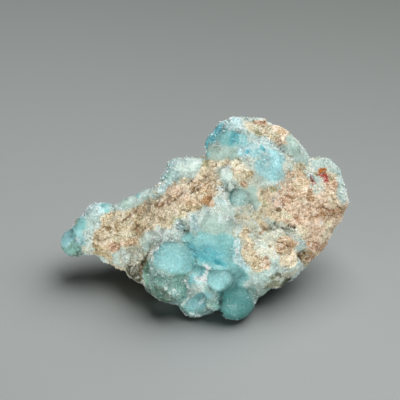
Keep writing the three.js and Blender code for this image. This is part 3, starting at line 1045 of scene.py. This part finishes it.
# What the grains of the matrix and of the crust take after, by their shares, and by how much at most.
STONY = (["cream", "frost", "pink", "tan", "sand", "rose", "brown"], [3, 2, 2, 2, 2, 0.7, 0.6], 0.16)
SUGARY = (["frost", "pale", "ice", "sea", "celadon", "glass", "moss"], [4, 2, 2, 2, 1, 1, 1], 0.4)
RAISED_LIGHT = 0.3  # painted light: how much lighter a millimetre higher is
OWN_TONE = 0.24  # how far grains differ in tone
TONES = (0.35, 1.4)  # the least and the most that a tone may be
PALING = 0.5  # how much paler a lightened colour is, and how much fuller a darkened one
FAINTEST = 0.001  # a share of white
LIGHTEST = 0.93

FACING_SHADE = np.array([0.0, 0.08, 0.16])  # painted shade and light: how much darker the sides that face away and up are, and how much lighter those that face down and to the front
FOOT = 4.0  # up to this height the stone is darkened by painted shade
FOOT_SHADE = 0.45  # how much darker that painted shade is
UNDERSIDE = 11.7  # and up to this height, what faces down, also darkened by painted shade
UNDERSIDE_FADE = 9.0  # less and less over the last of it
# how much darker that painted shade is
UNDERSIDE_SHADE = 0.63
DEEP_HOLLOW = 0.12


def relief(points, layers, salt):
    """The height of a surface made of cells of several sizes, and the middle ones' borders and numbers."""
    height = np.zeros(len(points))
    points = points + wandering(points, 1.2, 501, 1) * 0.3
    for k, (size, swell, step, slope) in enumerate(layers):
        first, second, own, lean = grains(points, size, salt + 20 * k)
        height += swell * (np.sqrt(np.clip(1 - (first / (0.85 * size)) ** 2, 0, 1)) - 0.5)
        height += step * (own - 0.5) + slope * size * lean
        if k == MIDDLE_SIZE:
            border, number = smooth_step(1 - (second - first) / (0.25 * size)), own
    return height, border, number


def mingled(colour, number, where, names, shares, most):
    """The colours, each grain's moved towards one mineral by its number, by at most that much."""
    steps = np.cumsum(shares) / sum(shares)
    drawn = np.minimum(np.searchsorted(steps, number), len(names) - 1)
    amount = hashed(np.floor(number[:, None] * 4096 * np.array([[1, 3, 7]])), 9) * where * most
    return colour + (colours_of(names)[drawn] - colour) * amount[:, None]


def cell_light_and_tone(height, border, number, lowest, highest, rim):
    """Painted light where cells stand out and painted shade at their borders, and each cell's own tone."""
    return RAISED_LIGHT * np.clip(height, lowest, highest) - rim * border + OWN_TONE * (number - 0.5)


def toned(colours, factors):
    """Colours made lighter or darker by the factors: the light ones are paler, and the dark ones fuller."""
    return colours ** (1 - PALING * np.log(factors)) * factors ** (1 - PALING)


def make_stone():
    """The stone's fine surface, painted with its minerals and roughened by them."""
    stone = fine_copy(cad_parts["specimen"], FACE)
    skin = Skin(stone.data)
    skin.move(skin.spread(skin.points, EVEN))
    fill = FILL * np.clip(skin.hollows(CREASE), 0, DEEPEST) * smooth_step(skin.points[:, 2] / FOOT_FADE)
    skin.move(skin.points + skin.normals * fill[:, None])
    skin.move(with_balls(skin))
    tree = skin.tree()
    add_map(stone)
    colour, grain, druse, wax = painted(skin, tree)
    points = skin.points
    height = points[:, 2]
    stony, stony_border, stony_number = relief(points, BLOCKS, 100)
    sugary, sugary_border, sugary_number = relief(points, BEADS, 200)
    smooth, _, _ = relief(points, DIMPLES, 300)
    sugared = smooth_step(druse * 1.6)
    crust, plain = (1 - grain) * sugared, (1 - grain) * (1 - sugared)
    swell, groove = swollen(points, tree)
    rough = (grain * stony + crust * sugary + plain * smooth + swell) * smooth_step(height / FLAT_FOOT)
    # each grain takes after a mineral of its own, but not where the stone is of one vivid colour
    most, least = colour.max(axis=1), colour.min(axis=1)
    mild = 1 - smooth_step((most - least) / most * 2.0 - 0.9)
    colour = mingled(colour, stony_number, grain * mild, *STONY)
    colour = mingled(colour, sugary_number, crust * mild, *SUGARY)
    # painted light on raised cells and painted shade at their borders, with each cell's own tone
    tone = 1 + grain * cell_light_and_tone(stony, stony_border, stony_number, -0.7, 0.5, 0.12)
    tone += crust * cell_light_and_tone(sugary, sugary_border, sugary_number, -0.5, 0.4, 0.1)
    tone += plain * (0.07 * rough_noise(points, 2.5, 91) + 0.03 * noise(points, 0.5, 95))
    # painted shade in the groove round the great lobe
    tone -= 0.05 * groove
    colour = toned(np.clip(colour, FAINTEST, 1), np.clip(tone, *TONES)[:, None])
    raised = points + skin.normals * rough[:, None]
    raised[:, 2] = np.maximum(raised[:, 2], 0)
    skin.move(raised)
    # painted shade: what faces up and away is darker, and so are the foot and what faces down near the floor
    facing = skin.spread(skin.normals, 10)
    foot = smooth_step(1 - height / FOOT)
    below = np.clip(-facing[:, 2], 0, 1) * smooth_step((UNDERSIDE - height) / UNDERSIDE_FADE)
    painted_shade = facing @ FACING_SHADE + FOOT_SHADE * foot + UNDERSIDE_SHADE * below
    colour = np.clip(colour * np.exp(-painted_shade)[:, None], 0, LIGHTEST)
    add_colour(stone.data, "mineral", colour)
    # how deep each point lies in a hollow, which the finish turns into painted shade and highlight
    hollow = np.clip(skin.hollows(6) / DEEP_HOLLOW, -1, 1) * 0.5 + 0.5
    for name, values in (("grain", grain), ("druse", druse), ("wax", wax), ("hollow", hollow)):
        attribute = stone.data.attributes.new(name, "FLOAT", "POINT")
        attribute.data.foreach_set("value", values.astype(np.float32))
    stone.data.materials.append(stone_material())
    for polygon in stone.data.polygons:
        polygon.use_smooth = True
    placed(stone)
    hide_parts("specimen")
    return skin, colour, grain, druse


def add_colour(mesh, name, values):
    """Gives each point of a mesh its colour."""
    attribute = mesh.attributes.new(name, "FLOAT_COLOR", "POINT")
    full = np.concatenate([values, np.ones((len(values), 1))], axis=1)
    attribute.data.foreach_set("color", full.astype(np.float32).ravel())


def add_map(piece):
    """Lays the smooth surface out flat, so that a picture of its finish holds large patches of it."""
    bpy.context.view_layer.objects.active = piece
    piece.select_set(True)
    piece.data.uv_layers.new(name="OFBake")
    bpy.ops.object.mode_set(mode="EDIT")
    bpy.ops.mesh.select_all(action="SELECT")
    bpy.ops.uv.smart_project(angle_limit=1.15, island_margin=0.002, scale_to_bounds=True)
    bpy.ops.object.mode_set(mode="OBJECT")
    piece.select_set(False)


def placed(piece):
    """The piece rides on the stone's one body."""
    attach(piece, "root")


# ---- Small grains and crystals, each rooted in the surface ---------------------------------------
GRAIN = (  # an uneven eight-sided grain
    np.array([(1, 0, 0.1), (-0.9, 0.1, 0), (0.1, 1, -0.1), (0, -0.9, 0), (0.1, 0, 0.85), (-0.1, 0.1, -0.9)]),
    np.array([(0, 2, 4), (2, 1, 4), (1, 3, 4), (3, 0, 4), (2, 0, 5), (1, 2, 5), (3, 1, 5), (0, 3, 5)]),
)
BLADE = (  # a short four-sided prism with a point
    np.array([(1, 0, -0.6), (0, 0.6, -0.6), (-1, 0, -0.6), (0, -0.6, -0.6),
              (1, 0, 1.4), (0, 0.6, 1.4), (-1, 0, 1.4), (0, -0.6, 1.4), (0.1, 0, 2.1)]),
    np.array([(0, 1, 5), (0, 5, 4), (1, 2, 6), (1, 6, 5), (2, 3, 7), (2, 7, 6), (3, 0, 4), (3, 4, 7),
              (4, 5, 8), (5, 6, 8), (6, 7, 8), (7, 4, 8), (2, 1, 0), (3, 2, 0)]),
)
LOWEST_ROOT = 0.6  # none is rooted lower than this
LOWEST_POINT = 0.02


def turned(rng, normals, tilt):
    """For each normal, a turn that stands a shape along it, tilted and spun at random."""
    way = normals + rng.normal(0, tilt, normals.shape)
    way /= np.linalg.norm(way, axis=1)[:, None]
    side = rng.normal(0, 1, normals.shape)
    side -= way * np.einsum("ij,ij->i", side, way)[:, None]
    side /= np.linalg.norm(side, axis=1)[:, None]
    return np.stack([side, np.cross(way, side), way], axis=2)


def laid_out(count, faces):
    """Places on a flat map for many small shapes: a square for each, and a corner of it for each face."""
    across, inner = math.ceil(math.sqrt(count)), math.ceil(math.sqrt(faces))
    shape, face = np.divmod(np.arange(count * faces), faces)
    u = shape % across + face % inner / inner
    v = shape // across + face // inner / inner
    triangle = np.array([(0.1, 0.1), (0.9, 0.1), (0.1, 0.9)]) / inner
    return (np.stack([u, v], axis=1)[:, None] + triangle) / across


def sprinkle(name, skin, chance, count, shape, sizes, tilt, sink, tint, seed, material):
    """Many small copies of a shape on the surface, as one mesh, more of them where the chance is higher."""
    rng = np.random.default_rng(seed)
    chance = chance * (skin.points[:, 2] > LOWEST_ROOT)
    count = min(count, int((chance > 1e-3).sum()))
    spots = rng.choice(len(chance), count, replace=False, p=chance / chance.sum())
    size = sizes[0] + (sizes[1] - sizes[0]) * rng.random(count) ** 2
    stretch = rng.uniform(0.7, 1.3, (count, 3))
    turn = turned(rng, skin.normals[spots], tilt)
    corners, faces = shape
    local = corners[None] * stretch[:, None] * size[:, None, None]
    middle = skin.points[spots] - skin.normals[spots] * (sink * size)[:, None]
    points = np.einsum("nij,nkj->nki", turn, local) + middle[:, None]
    points[:, :, 2] = np.maximum(points[:, :, 2], LOWEST_POINT)
    every = faces[None] + (np.arange(count) * len(corners))[:, None, None]
    mesh = bpy.data.meshes.new(name)
    mesh.vertices.add(count * len(corners))
    mesh.vertices.foreach_set("co", (points.reshape(-1, 3) * MM).astype(np.float32).ravel())
    mesh.loops.add(every.size)
    mesh.loops.foreach_set("vertex_index", every.astype(np.int32).ravel())
    mesh.polygons.add(count * len(faces))
    mesh.polygons.foreach_set("loop_start", np.arange(0, every.size, 3, dtype=np.int32))
    mesh.update(calc_edges=True)
    mesh.validate()
    layout = mesh.uv_layers.new(name="OFBake")
    layout.data.foreach_set("uv", laid_out(count, len(faces)).astype(np.float32).ravel())
    add_colour(mesh, "mineral", np.repeat(tint(rng, spots), len(corners), axis=0))
    mesh.materials.append(material)
    placed(linked(name, mesh))


def blended(rng, base, names, shares, strength):
    """Each base colour moved towards one of the minerals, drawn by their shares."""
    drawn = rng.choice(len(names), len(base), p=np.array(shares) / sum(shares))
    amount = (strength * rng.random(len(base)))[:, None]
    return base + (colours_of(names)[drawn] - base) * amount


def add_crumbs(skin, colour, grain, druse):
    """Grains all over the matrix, and small crystals all over the crust and here and there on the lobes."""
    def own_tone(rng, mixed, low, high):
        return np.clip(toned(mixed, rng.uniform(low, high, (len(mixed), 1))), 0, LIGHTEST)

    def grain_tint(rng, spots):
        mixed = blended(rng, colour[spots], ["cream", "tan", "pink", "frost"], [3, 2, 2, 2], 0.15)
        return own_tone(rng, mixed, 0.6, 1.5)

    def crystal_tint(rng, spots):
        base = colour[spots]
        mixed = blended(rng, base, ["snow", "frost", "ice", "pale"], [3, 2, 1, 1], 1.0)
        mixed = base + (mixed - base) * smooth_step(0.12 + druse[spots] * 1.3)[:, None]
        return own_tone(rng, mixed, 0.75, 1.5)

    sprinkle(
        "matrix_grains", skin, grain ** 2, count=20000, shape=GRAIN, sizes=(0.10, 0.38), tilt=0.9, sink=0.4,
        tint=grain_tint, seed=3, material=small_material("matrix_grain", roughness=0.5, weight=0.4),
    )
    tufts = 0.3 + 1.5 * smooth_step(1.5 * noise(skin.points, 1.8, 601))
    sprinkle(
        "druse_crystals", skin, (1 - grain) * (druse ** 1.5 + 0.02) * tufts, count=14000, shape=BLADE,
        sizes=(0.09, 0.24), tilt=0.7, sink=0.7, tint=crystal_tint, seed=5,
        material=small_material("druse_crystal", roughness=0.22, weight=0.6),
    )


add_camera()
add_floor()
add_light()
scene = bpy.context.scene
scene.view_settings.view_transform = "Standard"
scene.view_settings.look = "Medium High Contrast"
scene.cycles.use_denoising = True
add_crumbs(*make_stone())
